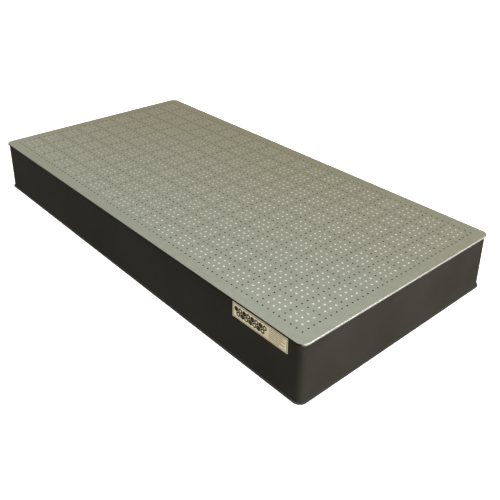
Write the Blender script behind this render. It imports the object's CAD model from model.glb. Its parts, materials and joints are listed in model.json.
import bmesh
import bpy
import json
from math import cos, pi, radians, sin
from mathutils import Matrix, Vector


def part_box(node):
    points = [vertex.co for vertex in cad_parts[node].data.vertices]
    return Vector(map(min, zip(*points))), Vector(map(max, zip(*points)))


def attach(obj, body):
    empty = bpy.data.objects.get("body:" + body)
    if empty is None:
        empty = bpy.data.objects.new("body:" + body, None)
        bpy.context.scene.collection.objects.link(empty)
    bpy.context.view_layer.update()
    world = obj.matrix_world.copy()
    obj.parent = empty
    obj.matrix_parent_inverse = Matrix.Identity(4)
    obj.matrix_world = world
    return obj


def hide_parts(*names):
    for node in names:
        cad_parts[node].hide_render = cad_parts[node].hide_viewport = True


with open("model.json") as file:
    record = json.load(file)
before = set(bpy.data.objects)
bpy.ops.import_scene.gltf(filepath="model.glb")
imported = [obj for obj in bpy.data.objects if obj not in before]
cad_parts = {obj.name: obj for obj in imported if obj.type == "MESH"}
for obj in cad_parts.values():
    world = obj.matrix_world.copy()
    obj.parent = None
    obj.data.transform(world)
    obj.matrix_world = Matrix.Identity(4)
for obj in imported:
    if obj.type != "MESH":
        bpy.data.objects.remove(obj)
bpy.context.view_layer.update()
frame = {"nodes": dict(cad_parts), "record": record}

print("frame loaded,", len(frame["nodes"]), "nodes")


# Shader maths and finishes

class Feed:
    # A socket that can be added, multiplied and so on, each adding its Math node
    def __init__(self, shading, socket):
        self.shading = shading
        self.socket = socket

    def maths(self, operation, first, second):
        return self.shading.node("ShaderNodeMath", {"operation": operation}, {0: first, 1: second})

    def __add__(self, other):
        return self.maths("ADD", self, other)

    def __radd__(self, other):
        return self.maths("ADD", other, self)

    def __sub__(self, other):
        return self.maths("SUBTRACT", self, other)

    def __rsub__(self, other):
        return self.maths("SUBTRACT", other, self)

    def __mul__(self, other):
        return self.maths("MULTIPLY", self, other)

    def __rmul__(self, other):
        return self.maths("MULTIPLY", other, self)

    def __abs__(self):
        return self.maths("ABSOLUTE", self, 0)


class Shading:
    # A node tree being filled
    def __init__(self, tree):
        self.tree = tree

    def node(self, kind, settings=None, sockets=None, out=0):
        made = self.tree.nodes.new(kind)
        for key, value in (settings or {}).items():
            if key == "stops":
                self.fillRamp(made.color_ramp, value)
            else:
                setattr(made, key, value)
        for key, value in (sockets or {}).items():
            self.put(made.inputs[key], value)
        return Feed(self, made.outputs[out])

    def fillRamp(self, ramp, stops):
        while len(ramp.elements) < len(stops):
            ramp.elements.new(0.5)
        for element, (place, colour) in zip(ramp.elements, stops):
            element.position = place
            element.color = (*colour, 1)

    def put(self, socket, value):
        if isinstance(value, Feed):
            self.tree.links.new(value.socket, socket)
        elif isinstance(value, tuple) and len(value) == 3 and socket.type == "RGBA":
            socket.default_value = (*value, 1)
        else:
            socket.default_value = value

    def axes(self, coordinates="Object"):
        where = self.node("ShaderNodeTexCoord", out=coordinates)
        split = self.node("ShaderNodeSeparateXYZ", {}, {0: where})
        return [Feed(self, output) for output in split.socket.node.outputs]

    def span(self, value, low, high, toLow=0, toHigh=1):
        sockets = {"Value": value, "From Min": low, "From Max": high, "To Min": toLow, "To Max": toHigh}
        return self.node("ShaderNodeMapRange", {"clamp": True}, sockets)

    def spread(self, pattern, low=0, high=1):
        return self.span(pattern, 0.3, 0.7, low, high)  # most of a noise lies between 0.3 and 0.7


class Finish(Shading):
    # A material under construction, with its Principled shader
    def __init__(self, name, **uniform):
        self.material = bpy.data.materials.new(name)
        self.material.use_nodes = True
        super().__init__(self.material.node_tree)
        self.shader = self.tree.nodes["Principled BSDF"]
        for socketName, value in uniform.items():
            self.shader.inputs[socketName.replace("_", " ")].default_value = value

    def place(self, scale=(1, 1, 1)):
        where = self.node("ShaderNodeTexCoord", out="Object")
        return self.node("ShaderNodeMapping", {}, {"Vector": where, "Scale": scale})

    def noise(self, perMetre, detail=3, stretch=(1, 1, 1), roughness=0.5):
        sockets = {"Vector": self.place(stretch), "Scale": perMetre, "Detail": detail, "Roughness": roughness}
        return self.node("ShaderNodeTexNoise", {}, sockets)

    def cells(self, perMetre, feature="F1"):
        sockets = {"Vector": self.place(), "Scale": perMetre}
        return self.node("ShaderNodeTexVoronoi", {"feature": feature}, sockets)

    def blend(self, factor, first, second, kind="MIX"):
        sockets = {0: factor, 6: first, 7: second}  # 6 and 7 take colours, and output 2 gives one
        return self.node("ShaderNodeMix", {"data_type": "RGBA", "blend_type": kind}, sockets, 2)

    def ramp(self, value, *stops):
        return self.node("ShaderNodeValToRGB", {"stops": stops}, {"Fac": value})

    def colour(self, value):
        self.put(self.shader.inputs["Base Color"], value)

    def roughness(self, value):
        self.put(self.shader.inputs["Roughness"], value)

    def bump(self, height, distance, strength=1):
        sockets = {"Strength": strength, "Distance": distance, "Height": height}
        self.put(self.shader.inputs["Normal"], self.node("ShaderNodeBump", {}, sockets))


steelLook = {
    "coolTint": (0.392, 0.410, 0.325),   # near the front side
    "warmTint": (0.308, 0.283, 0.174),   # towards the back
    "warmBand": (-0.55, 0.75),           # from where to where the warm tint comes in, front to back
    "warmSlant": 0.40,                   # how much the left end is warmer
    "warmDrift": 0.35,                   # how much clouds disturb it
    "rimTint": (0.66, 0.65, 0.62),       # the milled edge at both ends of the plate
    "oiledTint": (0.030, 0.028, 0.022),  # the threads, and the oxide on the long edges
    "rimReach": 0.040,                   # how far the milled edge reaches from each end
    "rimFade": 0.001,
    "cornerFade": 0.008,                 # half of the way from milled to dark round a corner
    "edgeDepth": (0.0001, 0.0005),       # below the top, where the face gives way to the edge
    "cloudsPerMetre": 2.4,
    "mottlePerMetre": 38,
    "mottleTone": (0.84, 0.85, 0.86),
    "mottleWeight": 0.6,
    "linesPerMetre": 900,
    "lineStretch": (0.012, 1, 1),        # grinding lines run along the table
    "lineTone": (0.88, 0.88, 0.88),
    "lineWeight": 0.5,
    "metallic": 0.75,
    "specular": 0.5,
    "roughness": (0.40, 0.54),
    "relief": 0.00008,
}
white = (1, 1, 1)


def groundSteel():
    look = steelLook
    finish = Finish("groundSteel", Metallic=look["metallic"], Specular_IOR_Level=look["specular"])
    x, y, z = finish.axes()
    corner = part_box("top_skin")[1]
    clouds = finish.noise(look["cloudsPerMetre"])
    mottle = finish.noise(look["mottlePerMetre"], 4, roughness=0.65)
    streaks = finish.noise(look["linesPerMetre"], 2, look["lineStretch"])
    backwards = y - x * look["warmSlant"] + clouds * look["warmDrift"]
    tint = finish.blend(finish.span(backwards, *look["warmBand"]), look["coolTint"], look["warmTint"])
    lines = finish.ramp(streaks, (0.3, look["lineTone"]), (0.7, white))
    spots = finish.ramp(mottle, (0.3, look["mottleTone"]), (0.7, white))
    lined = finish.blend(look["lineWeight"], tint, lines, "MULTIPLY")
    face = finish.blend(look["mottleWeight"], lined, spots, "MULTIPLY")
    rimStart = corner.x - look["rimReach"]
    nearEnd = finish.span(abs(x), rimStart - look["rimFade"], rimStart)
    endwards = (abs(x) - corner.x) - (abs(y) - corner.y)
    milled = nearEnd * finish.span(endwards, -look["cornerFade"], look["cornerFade"])
    edge = finish.blend(milled, look["oiledTint"], look["rimTint"])
    finish.colour(finish.blend(finish.span(corner.z - z, *look["edgeDepth"]), face, edge))
    finish.roughness(finish.spread(mottle * 0.6 + streaks * 0.4, *look["roughness"]))
    finish.bump(streaks + mottle * 0.5, look["relief"], 0.6)
    return finish.material


vinylLook = {
    "dark": (0.0235, 0.0208, 0.0155),
    "light": (0.0385, 0.0350, 0.0275),
    "pebblesPerMetre": 420,
    "creasesPerMetre": 252,
    "creaseWidth": 0.12,                 # as a part of a pebble
    "cloudsPerMetre": 5,
    "specular": 0.14,
    "roughness": (0.50, 0.66),
    "relief": 0.00025,
}


def darkVinyl():
    look = vinylLook
    finish = Finish("darkVinyl", Specular_IOR_Level=look["specular"])
    pebbles = finish.cells(look["pebblesPerMetre"])
    creases = finish.cells(look["creasesPerMetre"], "DISTANCE_TO_EDGE")
    clouds = finish.noise(look["cloudsPerMetre"])
    tint = finish.span(pebbles * 0.5 + clouds * 0.8, 0.25, 0.95)
    finish.colour(finish.blend(tint, look["dark"], look["light"]))
    finish.roughness(finish.span(clouds + pebbles * 0.4, 0.3, 0.9, *look["roughness"]))
    finish.bump(finish.span(creases, 0, look["creaseWidth"]) - pebbles * 0.5, look["relief"], 0.7)
    return finish.material


paintLook = {
    "dark": (0.050, 0.048, 0.043),
    "light": (0.078, 0.075, 0.068),
    "scuff": (0.06, 0.06, 0.055),        # added where the paint is rubbed
    "specksPerMetre": 260,
    "scuffsPerMetre": 9,
    "specular": 0.4,
    "roughness": (0.45, 0.62),
    "relief": 0.0001,
}


def darkPaint():
    look = paintLook
    finish = Finish("darkPaint", Specular_IOR_Level=look["specular"])
    specks = finish.noise(look["specksPerMetre"])
    scuffs = finish.noise(look["scuffsPerMetre"], 5, roughness=0.7)
    base = finish.blend(finish.span(specks, 0.35, 0.7), look["dark"], look["light"])
    rubbed = finish.ramp(scuffs, (0.62, (0, 0, 0)), (0.74, look["scuff"]))
    finish.colour(finish.blend(0.5, base, rubbed, "ADD"))
    finish.roughness(finish.spread(specks, *look["roughness"]))
    finish.bump(specks, look["relief"], 0.5)
    return finish.material


nylonLook = {
    "dull": (0.37, 0.378, 0.322),        # soiled, towards the back left corner
    "fresh": (0.64, 0.65, 0.61),         # towards the front right corner
    "patchesPerMetre": 41,
    "grainPerMetre": 900,
    "tracesPerMetre": 1500,              # of the cutting tool
    "specular": 0.4,
    "roughness": (0.42, 0.58),
    "relief": 0.00004,
}


def paleNylon():
    look = nylonLook
    finish = Finish("paleNylon", Specular_IOR_Level=look["specular"])
    x, y, z = finish.axes()
    patches = finish.noise(look["patchesPerMetre"], 0)
    clean = finish.span(x * 0.5 - y + patches * 1.2, -0.4, 1.5)
    finish.colour(finish.blend(clean, look["dull"], look["fresh"]))
    grain = finish.noise(look["grainPerMetre"], 2)
    finish.roughness(finish.spread(grain, *look["roughness"]))
    finish.bump(finish.noise(look["tracesPerMetre"], 2), look["relief"], 0.5)
    return finish.material


boardLook = {
    "resin": (0.20, 0.12, 0.06),
    "wood": (0.42, 0.29, 0.16),
    "paleChip": (0.58, 0.44, 0.27),
    "chipsPerMetre": 220,
    "grainPerMetre": 60,
    "roughness": (0.7, 0.9),
    "relief": 0.0003,
}


def particleBoard():
    look = boardLook
    finish = Finish("particleBoard")
    chips = finish.cells(look["chipsPerMetre"])
    grain = finish.noise(look["grainPerMetre"], 4)
    stops = ((0.2, look["resin"]), (0.6, look["wood"]), (0.9, look["paleChip"]))
    finish.colour(finish.ramp(chips * 0.7 + grain * 0.5, *stops))
    finish.roughness(finish.spread(grain, *look["roughness"]))
    finish.bump(chips, look["relief"], 0.6)
    return finish.material


plateLook = {
    "cream": (0.92, 0.775, 0.46),
    "paleCream": (0.98, 0.88, 0.61),
    "blotchesPerMetre": 30,
    "fibresPerMetre": 700,
    "fibreStretch": (0.1, 1, 1),
    "specular": 0.5,
    "roughness": (0.34, 0.46),
    "relief": 0.00003,
}


def creamFilm():
    look = plateLook
    finish = Finish("creamFilm", Specular_IOR_Level=look["specular"])
    blotches = finish.noise(look["blotchesPerMetre"])
    fibres = finish.noise(look["fibresPerMetre"], 2, look["fibreStretch"])
    tint = finish.span(blotches * 0.8 + fibres * 0.3, 0.35, 0.75)
    finish.colour(finish.blend(tint, look["cream"], look["paleCream"]))
    finish.roughness(finish.spread(fibres, *look["roughness"]))
    finish.bump(fibres, look["relief"], 0.5)
    return finish.material


plainLooks = {
    # material slot: a name, two tones, the pattern's scale, and what else differs
    "cup_polymer": {
        "name": "cupPolymer", "dark": (0.008, 0.008, 0.008), "light": (0.016, 0.016, 0.015),
        "perMetre": 120, "roughness": (0.45, 0.65),
    },
    "core_foil": {
        "name": "coreFoil", "dark": (0.42, 0.43, 0.44), "light": (0.66, 0.67, 0.68),
        "perMetre": 45, "roughness": (0.28, 0.45), "metallic": 1, "stretch": (1, 1, 0.1),
    },
    "wall_steel": {
        "name": "wallSteel", "dark": (0.36, 0.36, 0.35), "light": (0.55, 0.55, 0.54),
        "perMetre": 30, "roughness": (0.35, 0.55), "metallic": 1, "stretch": (0.2, 0.2, 1),
    },
    "gasket_rubber": {
        "name": "gasketRubber", "dark": (0.006, 0.006, 0.006), "light": (0.014, 0.014, 0.013),
        "perMetre": 300, "roughness": (0.6, 0.8),
    },
    "plate_print": {
        "name": "plateInk", "dark": (0.012, 0.009, 0.005), "light": (0.030, 0.023, 0.013),
        "perMetre": 160, "roughness": (0.6, 0.75), "relief": 0.00003,
    },
}


def plainFinish(name, dark, light, perMetre, roughness, metallic=0, stretch=(1, 1, 1), relief=0.0001):
    # Two tones in a noise pattern, for the print and for pieces that are mostly hidden
    finish = Finish(name, Metallic=metallic)
    pattern = finish.noise(perMetre, 4, stretch, 0.6)
    finish.colour(finish.blend(finish.spread(pattern), dark, light))
    finish.roughness(finish.spread(pattern, *roughness))
    finish.bump(pattern, relief, 0.5)
    return finish.material


print("making finishes")
finishes = {
    "stainless_top": groundSteel(),
    "painted_steel": darkPaint(),
    "plug_nylon": paleNylon(),
    "damping_board": particleBoard(),
    "side_vinyl": darkVinyl(),
    "plate_cream": creamFilm(),
}
for slotName, look in plainLooks.items():
    finishes[slotName] = plainFinish(**look)

for subpart in frame["record"]["subparts"]:
    node = frame["nodes"][subpart["node"]]
    node.data.materials.clear()
    node.data.materials.append(finishes[subpart["material_slot"]])


# Pieces

mergeDistance = 0.00001
levelSlack = 0.000001


def tileMesh(bm, name):
    mesh = bpy.data.meshes.new(name)
    bm.to_mesh(mesh)
    bm.free()
    return mesh


def keepPiece(bm, name, slotName, *cadNodes):
    bmesh.ops.remove_doubles(bm, verts=bm.verts, dist=mergeDistance)
    bmesh.ops.recalc_face_normals(bm, faces=bm.faces)
    piece = bpy.data.objects.new(name, tileMesh(bm, name))
    bpy.context.scene.collection.objects.link(piece)
    piece.data.materials.append(finishes[slotName])
    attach(piece, "root")
    if cadNodes:
        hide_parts(*cadNodes)
    return piece


def shadeByAngle(piece, degrees):
    # Round stretches shade smoothly, and edges sharper than this stay crisp
    for face in piece.data.polygons:
        face.use_smooth = True
    piece.data.set_sharp_from_angle(angle=radians(degrees))


def pushOut(bm, edges, place):
    # Extrude a ring of edges, and send each new vertex where place says
    grown = bmesh.ops.extrude_edge_only(bm, edges=edges)["geom"]
    for vert in (part for part in grown if isinstance(part, bmesh.types.BMVert)):
        vert.co = place(vert.co)
    return [part for part in grown if isinstance(part, bmesh.types.BMEdge)]


skinLow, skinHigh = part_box("top_skin")
holeGrid = {
    "pitch": 0.025,
    "columns": 77,
    "rows": 37,
    "openEvery": 4,        # the lines whose holes stay open
    "boreRadius": 0.0029,
    "mouthRadius": 0.0035,
    "mouthDepth": 0.0005,
    "segments": 12,        # a multiple of 4, so that a tile's outline has its corners
    "plugStep": 0.0001,    # how far the plugs' heads stand out of the skin
}
skinTop = skinHigh.z - holeGrid["plugStep"]
skinEdge = {"cornerRadius": 0.030, "bevel": 0.0012, "cornerSegments": 10, "sharpAngle": 28}


def ontoSquare(point, half):
    # Move a point straight out to a tile's outline
    grow = half / max(abs(point.x), abs(point.y))
    return Vector((point.x * grow, point.y * grow, point.z))


def openTile():
    # One square of the skin with a countersunk hole through it
    grid = holeGrid
    half = grid["pitch"] / 2
    bm = bmesh.new()
    turn = Matrix.Rotation(pi / 4, 4, "Z")
    bmesh.ops.create_circle(bm, segments=grid["segments"], radius=grid["boreRadius"], matrix=turn)
    bottomRing = list(bm.edges)
    for vert in bm.verts:
        vert.co.z = skinLow.z
    neck = skinTop - grid["mouthDepth"]
    flare = grid["mouthRadius"] / grid["boreRadius"]
    neckRing = pushOut(bm, bottomRing, lambda p: Vector((p.x, p.y, neck)))
    mouthRing = pushOut(bm, neckRing, lambda p: Vector((p.x * flare, p.y * flare, skinTop)))
    for ring in (mouthRing, bottomRing):
        pushOut(bm, ring, lambda p: ontoSquare(p, half))
    return tileMesh(bm, "openTile")


def closedTile():
    # One square of the skin without a hole, with the same points along its edges
    half = holeGrid["pitch"] / 2
    bm = bmesh.new()
    for z in (skinLow.z, skinTop):
        place = Matrix.Translation((0, 0, z)) @ Matrix.Rotation(pi / 4, 4, "Z")
        bmesh.ops.create_circle(
            bm, cap_ends=True, segments=holeGrid["segments"], radius=half, matrix=place)
    for vert in bm.verts:
        vert.co = ontoSquare(vert.co, half)
    return tileMesh(bm, "closedTile")


def addTile(bm, mesh, column, row):
    grid = holeGrid
    before = len(bm.verts)
    bm.from_mesh(mesh)
    bm.verts.ensure_lookup_table()
    x = (column - (grid["columns"] - 1) / 2) * grid["pitch"]
    y = (row - (grid["rows"] - 1) / 2) * grid["pitch"]
    bmesh.ops.translate(bm, verts=bm.verts[before:], vec=(x, y, 0))


def copyAlong(bm, step, count):
    # Repeat everything in the bmesh so that there are count of it, each a step further
    block = bm.verts[:] + bm.edges[:] + bm.faces[:]
    for copy in range(1, count):
        made = bmesh.ops.duplicate(bm, geom=block)["geom"]
        verts = [part for part in made if isinstance(part, bmesh.types.BMVert)]
        bmesh.ops.translate(bm, verts=verts, vec=step * copy)


def atLevel(point, z):
    return abs(point.z - z) < levelSlack


def roundedRing(bm, inset, z):
    # The slab's outline, moved in by an inset, as a ring of edges
    size = skinHigh - skinLow
    place = Matrix.Translation((0, 0, z)) @ Matrix.Diagonal((size.x - 2 * inset, size.y - 2 * inset, 1, 1))
    made = bmesh.ops.create_grid(bm, x_segments=1, y_segments=1, size=0.5, matrix=place)
    bmesh.ops.bevel(
        bm, geom=made["verts"], offset=skinEdge["cornerRadius"] - inset, affect="VERTICES",
        segments=skinEdge["cornerSegments"], profile=0.5, material=-1)
    level = [face for face in bm.faces if atLevel(face.calc_center_median(), z)]
    sheet = max(level, key=lambda face: face.calc_area())
    edges = sheet.edges[:]
    bmesh.ops.delete(bm, geom=[sheet], context="FACES_ONLY")
    return edges


def gridBorder(bm, z):
    borders = (edge for edge in bm.edges if edge.is_boundary)
    return [edge for edge in borders if all(atLevel(vert.co, z) for vert in edge.verts)]


def makeTopSkin():
    grid = holeGrid
    every = grid["openEvery"]
    openMesh, closedMesh = openTile(), closedTile()
    bm = bmesh.new()
    for column in range(every):
        for row in range(every):
            addTile(bm, openMesh if 0 in (column, row) else closedMesh, column, row)
    block = grid["pitch"] * every
    copyAlong(bm, Vector((block, 0, 0)), grid["columns"] // every)
    for row in range(every):
        addTile(bm, openMesh, grid["columns"] - 1, row)
    copyAlong(bm, Vector((0, block, 0)), grid["rows"] // every)
    for column in range(grid["columns"]):
        addTile(bm, openMesh, column, grid["rows"] - 1)
    bmesh.ops.remove_doubles(bm, verts=bm.verts, dist=mergeDistance)
    bevel = skinEdge["bevel"]
    rings = []
    for inset, z in ((0, skinLow.z), (bevel, skinTop)):
        border = gridBorder(bm, z)
        ring = roundedRing(bm, inset, z)
        bmesh.ops.triangle_fill(bm, use_beauty=True, use_dissolve=False, edges=border + ring)
        rings.append(ring)
    shoulder = roundedRing(bm, 0, skinTop - bevel)
    for ring in rings:
        bmesh.ops.bridge_loops(bm, edges=ring + shoulder)
    piece = keepPiece(bm, "topSkin", "stainless_top", "top_skin")
    shadeByAngle(piece, skinEdge["sharpAngle"])
    return piece


print("top skin")
topSkin = makeTopSkin()
print("top skin has", len(topSkin.data.polygons), "faces")


plugShape = {
    "radius": 0.0038,
    "crownRadius": 0.0034,
    "sunk": 0.0002,        # how far a head goes below the skin's top
    "segments": 12,
    "sharpAngle": 60,
}


def makePlugHeads():
    # The flush head of each plug, a flat disc with a turned edge
    look = plugShape
    every = holeGrid["openEvery"]
    bm = bmesh.new()
    place = Matrix.Translation((0, 0, skinTop - look["sunk"]))
    bmesh.ops.create_circle(
        bm, cap_ends=True, segments=look["segments"], radius=look["radius"], matrix=place)
    crown = look["crownRadius"] / look["radius"]
    shoulder = (skinTop + skinHigh.z) / 2
    ring = pushOut(bm, list(bm.edges), lambda p: Vector((p.x, p.y, shoulder)))
    ring = pushOut(bm, ring, lambda p: Vector((p.x * crown, p.y * crown, skinHigh.z)))
    bmesh.ops.edgeloop_fill(bm, edges=ring)
    head = tileMesh(bm, "plugHead")
    bm = bmesh.new()
    for column in range(1, every):
        for row in range(1, every):
            addTile(bm, head, column, row)
    block = holeGrid["pitch"] * every
    copyAlong(bm, Vector((block, 0, 0)), holeGrid["columns"] // every)
    copyAlong(bm, Vector((0, block, 0)), holeGrid["rows"] // every)
    shadeByAngle(keepPiece(bm, "plugHeads", "plug_nylon"), look["sharpAngle"])


print("plug heads")
makePlugHeads()


# Stage

studio = {
    "roomRadius": 30,
    "roomHeight": 30,
    "roomSegments": 96,
    "paperTones": ((0.90, 0.90, 0.90), (0.92, 0.92, 0.92)),
    "paperPatchesPerMetre": 3,
    "paperRoughness": 0.9,
    "paperGlow": 0.95,
    "skyTop": 0.71,        # overhead
    "skyLow": 0.10,        # at the horizon and below
    "skyRise": 0.26,       # sine of the height where the sky is at its full strength
    "lights": {
        # name: place, size, power, aimed at
        "rightBank": ((5.2, 0.6, 1.5), (4.0, 2.2), 330, (0.9, 0.0, 0.15)),
        "frontBank": ((0.5, -5.5, 2.8), (5.0, 2.0), 86, (0.0, -0.3, 0.15)),
        "leftBank": ((-5.2, -1.2, 1.4), (3.0, 1.6), 45, (-0.9, 0.0, 0.15)),
        "backBank": ((1.2, 5.2, 1.4), (4.0, 1.6), 45, (0.0, 0.4, 0.15)),
        "topBank": ((-1.1, 0.3, 4.2), (4.5, 3.5), 24, (0.0, 0.0, 0.2)),
    },
}


def makeRoom():
    # A round pale floor with a wall of the same paper, facing inwards
    radius, tall = studio["roomRadius"], studio["roomHeight"]
    bm = bmesh.new()
    bmesh.ops.create_cone(
        bm, cap_ends=True, segments=studio["roomSegments"], radius1=radius, radius2=radius,
        depth=tall, matrix=Matrix.Translation((0, 0, tall / 2)))
    ceiling = max(bm.faces, key=lambda face: face.calc_center_median().z)
    bmesh.ops.delete(bm, geom=[ceiling], context="FACES_ONLY")
    bmesh.ops.reverse_faces(bm, faces=bm.faces)
    room = bpy.data.objects.new("room", tileMesh(bm, "room"))
    bpy.context.scene.collection.objects.link(room)
    finish = Finish("paper", Roughness=studio["paperRoughness"], Emission_Strength=studio["paperGlow"])
    patches = finish.noise(studio["paperPatchesPerMetre"], 2)
    finish.colour(finish.blend(finish.spread(patches), *studio["paperTones"]))
    finish.shader.inputs["Emission Color"].default_value = (1, 1, 1, 1)
    room.data.materials.append(finish.material)
    for ray in ("diffuse", "glossy", "transmission", "shadow"):
        setattr(room, "visible_" + ray, False)  # the paper must not light the sides from below


def makeLight(name, place, size, power, aim):
    lamp = bpy.data.lights.new(name, "AREA")
    lamp.shape = "RECTANGLE"
    lamp.size, lamp.size_y = size
    lamp.energy = power
    light = bpy.data.objects.new(name, lamp)
    light.location = place
    light.rotation_euler = (Vector(aim) - Vector(place)).to_track_quat("-Z", "Y").to_euler()
    bpy.context.scene.collection.objects.link(light)


def makeSky():
    # Bright overhead and dim round the horizon, as in a room with its lamps above
    world = bpy.data.worlds.new("studioSky")
    bpy.context.scene.world = world
    world.use_nodes = True
    sky = Shading(world.node_tree)
    rise = sky.axes("Generated")[2]
    background = world.node_tree.nodes["Background"]
    background.inputs["Color"].default_value = (1, 1, 1, 1)
    strength = sky.span(rise, 0, studio["skyRise"], studio["skyLow"], studio["skyTop"])
    sky.put(background.inputs["Strength"], strength)


cameraView = {
    "azimuth": 48.021,     # degrees from the front towards the right end
    "elevation": 25.220,
    "roll": 0.823,
    "distance": 3.2856,
    "aim": (-0.1454, 0.3174, 0.115),
    "sensor": 36,
    "lens": 49.551,
    "shift": (0, -0.15),
    "farthest": 200,
}


def makeCamera():
    view = cameraView
    azimuth, elevation, roll = (radians(view[key]) for key in ("azimuth", "elevation", "roll"))
    back = Vector((sin(azimuth) * cos(elevation), -cos(azimuth) * cos(elevation), sin(elevation)))
    right = Vector((0, 0, 1)).cross(back).normalized()
    up = back.cross(right)
    across = right * cos(roll) + up * sin(roll)
    upright = up * cos(roll) - right * sin(roll)
    lensData = bpy.data.cameras.new("camera")
    lensData.sensor_width = view["sensor"]
    lensData.lens = view["lens"]
    lensData.shift_x, lensData.shift_y = view["shift"]
    lensData.clip_end = view["farthest"]
    camera = bpy.data.objects.new("camera", lensData)
    turn = Matrix((across, upright, back)).transposed().to_4x4()
    camera.matrix_world = Matrix.Translation(Vector(view["aim"]) + back * view["distance"]) @ turn
    bpy.context.scene.collection.objects.link(camera)
    bpy.context.scene.camera = camera


print("stage")
makeRoom()
for name, settings in studio["lights"].items():
    makeLight(name, *settings)
makeSky()
makeCamera()
bpy.context.scene.view_settings.view_transform = "Standard"

for unused in [mesh for mesh in bpy.data.meshes if mesh.users == 0]:
    bpy.data.meshes.remove(unused)  # the tiles have been copied into their pieces
